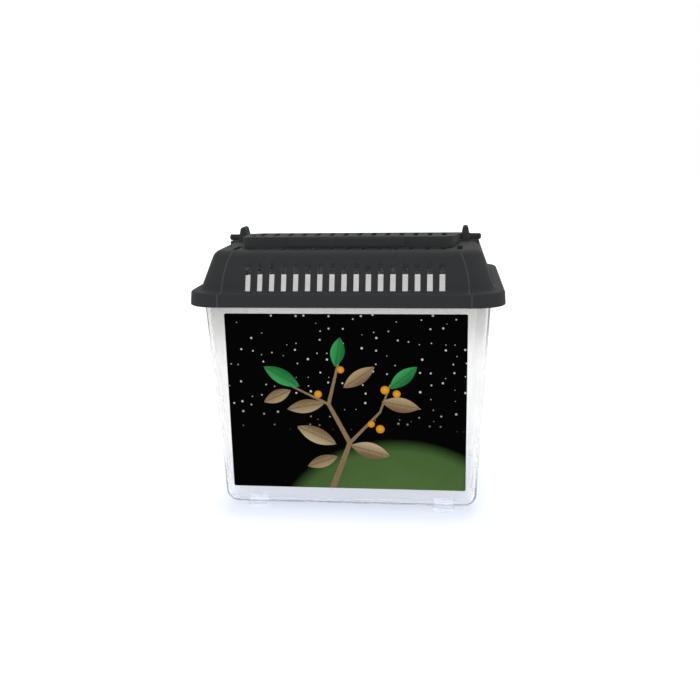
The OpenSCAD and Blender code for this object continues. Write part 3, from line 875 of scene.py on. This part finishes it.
# %% Make the print
def printed_film():
    f = Finish(bpy.data.materials.new("printed_film"))
    where, x, y, z = f.place()
    backwards = f.parts(f.node("ShaderNodeNewGeometry", output="Normal"))[1]
    fibre = f.noise(where, 1.6, 4.0, 0.65)
    blot = f.noise(where, 0.12, 3.0, 0.5)

    def edge(distance, softness=0.14):
        """1 inside a shape and 0 outside, from the distance to its edge."""
        return (0.5 - distance / softness).math("ADD", 0.0, clamp=True)

    def capsule(ax, az, bx, bz, start, end):
        """The distance to a round length between two points, with a radius at each end."""
        dx, dz = bx - ax, bz - az
        px, pz = x - ax, z - az
        along = ((px * dx + pz * dz) / (dx * dx + dz * dz)).math("ADD", 0.0, clamp=True)
        ex, ez = px - along * dx, pz - along * dz
        return (ex * ex + ez * ez).math("SQRT") - (start + along * (end - start))

    def leaf(cx, cz, angle, length, width):
        """The distance to a pointed oval, and the place across it."""
        c, s = math.cos(math.radians(angle)), math.sin(math.radians(angle))
        a = (x - cx) * c + (z - cz) * s
        b = (z - cz) * c - (x - cx) * s
        half = (1.0 - (a / (length / 2)) * (a / (length / 2))) * (width / 2)
        return b.math("ABSOLUTE") - half, b

    ink = (0.0006, 0.0006, 0.0006, 1)
    # The green rise: a wide round hill with a soft upper edge and a lit crown
    hx, hz = (x - 20.0) / 52.0, (z + 14.0) / 46.0
    hill = (1.0 - (hx * hx + hz * hz).math("SQRT")) * 9.0
    hill_mask = (hill + (fibre - 0.5) * 0.25).math("ADD", 0.0, clamp=True)
    light = (hill * 0.22).math("ADD", 0.0, clamp=True)
    green = f.mix(light, (0.075, 0.15, 0.04, 1), (0.15, 0.27, 0.075, 1))
    green = f.mix((fibre * 0.5).math("ADD", blot * 0.3, clamp=True), green, (0.05, 0.105, 0.028, 1))
    print_colour = f.mix(hill_mask * 0.9, ink, green)
    # Pale seeds drift over the black ground; each cell of the pattern may hold one
    flat = f.node("ShaderNodeCombineXYZ", None, {0: x, 1: z})
    cells = {"Vector": flat, "Scale": 0.23, "Randomness": 0.85}
    drift = f.node("ShaderNodeTexVoronoi", {"voronoi_dimensions": "2D"}, cells)
    chance = f.node("ShaderNodeSeparateXYZ", None, {0: drift.also("Color")})
    seed = ((0.05 + chance.also("Y") * 0.08 - drift) * 22.0).math("ADD", 0.0, clamp=True)
    seed = seed * chance.math("GREATER_THAN", 0.42) * ((z - 34.0) / 12.0).math("ADD", 0.0, clamp=True)
    print_colour = f.mix(seed * 0.85, print_colour, (0.7, 0.72, 0.68, 1))
    # The twig, one bent stem with two side shoots: both ends of each length, and its radius at each end
    shoots = ((-8, 6, 1, 30, 1.3, 0.95), (1, 30, -7, 46, 0.95, 0.75), (-7, 46, -3, 62, 0.75, 0.45),
              (1, 30, 13, 43, 0.7, 0.45), (13, 43, 17, 54, 0.45, 0.3), (-7, 46, -21, 53, 0.55, 0.35))
    stem = None
    for shoot in shoots:
        piece = capsule(*shoot)
        stem = piece if stem is None else stem.math("MINIMUM", piece)
    bark = f.mix(fibre, (0.16, 0.095, 0.045, 1), (0.36, 0.25, 0.13, 1))
    print_colour = f.mix(edge(stem + (fibre - 0.5) * 0.5), print_colour, bark)
    # The leaves: place, turn, length and width of each, in millimetres and degrees. Three are green
    leaves = ((-12, 33, 155, 17, 6.5), (-16, 45, 190, 15, 5.5), (-25, 57, 150, 16, 6), (-27, 49, 205, 12, 5),
              (-3, 67, 80, 12, 5.5), (5, 57, 35, 15, 5.5), (22, 57, 40, 14, 5.5), (21, 46, -10, 15, 6),
              (9, 27, -15, 16, 6.5), (-10, 22, 200, 13, 5))
    for number, shape in enumerate(leaves):
        distance, across = leaf(*shape)
        shade = (across * 0.22 + 0.45 + (fibre - 0.5) * 0.9).math("ADD", 0.0, clamp=True)
        if number in (2, 4, 6):
            lit, dim, vein = (0.05, 0.34, 0.09, 1), (0.015, 0.15, 0.035, 1), (0.012, 0.1, 0.03, 1)
        else:
            lit = (0.44, 0.32, 0.17, 1) if number % 2 else (0.52, 0.4, 0.23, 1)
            dim, vein = (0.2, 0.125, 0.06, 1), (0.13, 0.08, 0.04, 1)
        body = f.mix(shade, dim, lit)
        rib = edge(across.math("ABSOLUTE") - 0.22, 0.2)
        body = f.mix(rib * 0.6, body, vein)
        print_colour = f.mix(edge(distance), print_colour, body)
    # Amber berries beside the leaves: place and radius of each, in millimetres
    berries = ((15, 52, 1.7), (19.5, 50.5, 1.5), (-11, 50, 1.5), (-2, 60, 1.4), (13, 36, 1.7), (9.5, 38, 1.4))
    berry = None
    for bx, bz, size in berries:
        px, pz = x - bx, z - bz
        piece = (px * px + pz * pz).math("SQRT") - size
        berry = piece if berry is None else berry.math("MINIMUM", piece)
    amber = f.mix((berry * -0.6).math("ADD", 0.0, clamp=True), (0.62, 0.22, 0.01, 1), (0.86, 0.42, 0.03, 1))
    print_colour = f.mix(edge(berry), print_colour, amber)
    # The side that faces the wall is plain grey-white paper
    backing = f.mix(blot, (0.62, 0.63, 0.63, 1), (0.7, 0.7, 0.69, 1))
    print_colour = f.mix((backwards * 3.0).math("ADD", 0.0, clamp=True), print_colour, backing)
    surface = f.node("ShaderNodeBump", None, {"Strength": 0.1, "Distance": 0.05 * MM, "Height": blot})
    rough = 0.26 + 0.1 * blot + 0.03 * fibre
    shader = f.node("ShaderNodeBsdfPrincipled", None, {
        "Base Color": print_colour, "Roughness": rough, "Specular IOR Level": 0.01, "Normal": surface,
    })
    return f.finish(shader)


dress(film, printed_film())

# %% [markdown]
# ## Studio
# A white room: the camera, reflections and see-through plastic all see plain white, while the light on
# the object itself stays at a lower, even level. The floor keeps a soft shadow. Close to the tub its
# paper glows less, so that the shadow shows, and the glow there is a shade cooler, a painted blue tint
# for the shadow.

# %% Floor, world and lamps
bpy.ops.object.select_all(action="DESELECT")
bpy.ops.mesh.primitive_plane_add(size=6, location=(0, 0, 0))
floor = settle(bpy.context.object)
floor.name = "studio_floor"
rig.stage(floor)


def seen(f):
    """1 where a camera, glossy or transmission ray looks, else 0."""
    path = f.node("ShaderNodeLightPath", output="Is Camera Ray")
    return path.math("MAXIMUM", path.also("Is Glossy Ray").math("MAXIMUM", path.also("Is Transmission Ray")))


def floor_finish():
    f = Finish(bpy.data.materials.new("studio_floor"))
    where, x, y, z = f.place()
    tone = f.mix(f.noise(where, 0.01, 2.0), (0.79, 0.84, 0.93, 1), (0.81, 0.86, 0.95, 1))
    paper = f.node("ShaderNodeBsdfDiffuse", None, {"Color": tone})
    # 0 up to 4 mm from the tub's footprint, 1 from 30 mm on
    aside = (x.math("ABSOLUTE") - 46.0).math("MAXIMUM", 0.0)
    beyond = (y.math("ABSOLUTE") - 32.0).math("MAXIMUM", 0.0)
    away = (((aside * aside + beyond * beyond).math("SQRT") - 4.0) / 26.0).math("ADD", 0.0, clamp=True)
    # Painted shadow tint: near the tub the glow is cooler, for the blue of the cast shadow
    tint = f.mix(away, (0.93, 0.985, 1.12, 1), (1.0, 1.0, 1.0, 1))
    glow = f.node("ShaderNodeEmission", None, {"Color": tint, "Strength": 1.25})
    bounce = f.node("ShaderNodeMixShader", None, {0: seen(f) * (0.5 + 0.5 * away), 1: paper, 2: glow})
    return f.finish(bounce)


dress(floor, floor_finish())

# White where it is seen, and 0.62 of that as a light
room = Finish(bpy.data.worlds.new("white_room"))
strength = 0.62 + seen(room) * 0.38
room_glow = room.node("ShaderNodeBackground", None, {"Color": (1, 1, 1, 1), "Strength": strength})
bpy.context.scene.world = room.finish(room_glow, "ShaderNodeOutputWorld")


def lamp(name, place, target, size, power):
    """A soft box that faces a point."""
    bpy.ops.object.select_all(action="DESELECT")
    bpy.ops.object.light_add(type="AREA", location=place)
    light = bpy.context.object
    light.name = name
    light.data.size = size
    light.data.energy = power
    light.rotation_euler = (Vector(target) - Vector(place)).to_track_quat("-Z", "Y").to_euler()
    light.visible_camera = False
    light.visible_transmission = False
    return light


lamp("overhead_box", (0.02, 0.22, 0.62), (0, 0, 0.08), 0.5, 3.2)
lamp("left_box", (-0.55, -0.3, 0.35), (0, 0, 0.07), 0.35, 1.0)
lamp("right_box", (0.6, -0.2, 0.3), (0, 0, 0.07), 0.35, 1.0)
bpy.context.scene.view_settings.view_transform = "Standard"

# %% Write out the sizes and finish
with open("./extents.json", "w") as out:
    json.dump({"cad": [list(map(float, p)) for p in frame_box], "visual": [list(map(float, p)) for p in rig.bounds()]}, out)
print(open("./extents.json").read())
